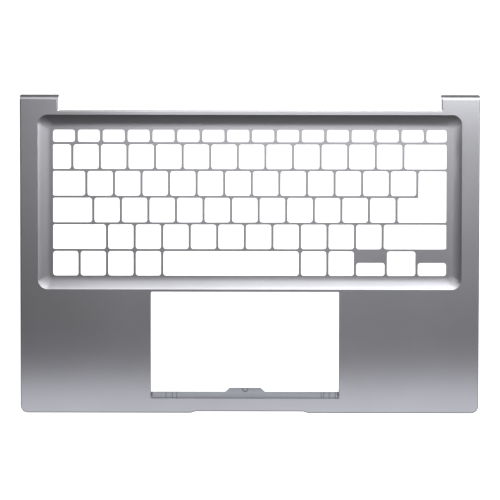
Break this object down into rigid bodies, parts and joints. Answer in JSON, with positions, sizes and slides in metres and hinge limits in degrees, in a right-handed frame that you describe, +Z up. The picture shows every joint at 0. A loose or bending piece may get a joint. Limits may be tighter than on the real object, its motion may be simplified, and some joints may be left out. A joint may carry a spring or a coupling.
{
  "type": "laptop palm rest",
  "caption": "Upper base cover of a laptop: flat deck, sunk tray with key openings, touchpad opening, rim walls and two rear tabs.",
  "frame": {"origin": "middle of the bounding box at the height of the rim's lower edge", "axes": "+X across the width to the right, +Y to the rear hinge edge, +Z up through the deck"},
  "size_m": [0.317, 0.2202, 0.007],
  "materials": {
    "anodised_aluminium": "bead-blasted and anodised silver grey, satin",
    "bare_metal": "bare milled metal, matt",
    "screw_steel": "dark zinc plated steel",
    "moulded_plastic": "glass-filled moulded plastic, fine matt grain",
    "brass": "turned brass",
    "magnet_nickel": "nickel-plated magnet",
    "plate_steel": "stamped stainless steel"
  },
  "bodies": {
    "root": {"top_cover": "anodised_aluminium", "touchpad_ledge": "bare_metal", "ledge_screws": "screw_steel", "inner_frame": "moulded_plastic", "frame_inserts": "brass", "lid_magnets": "magnet_nickel", "hinge_plate_left": "plate_steel", "hinge_plate_right": "plate_steel", "hinge_standoffs": "plate_steel"}
  },
  "joints": []
}
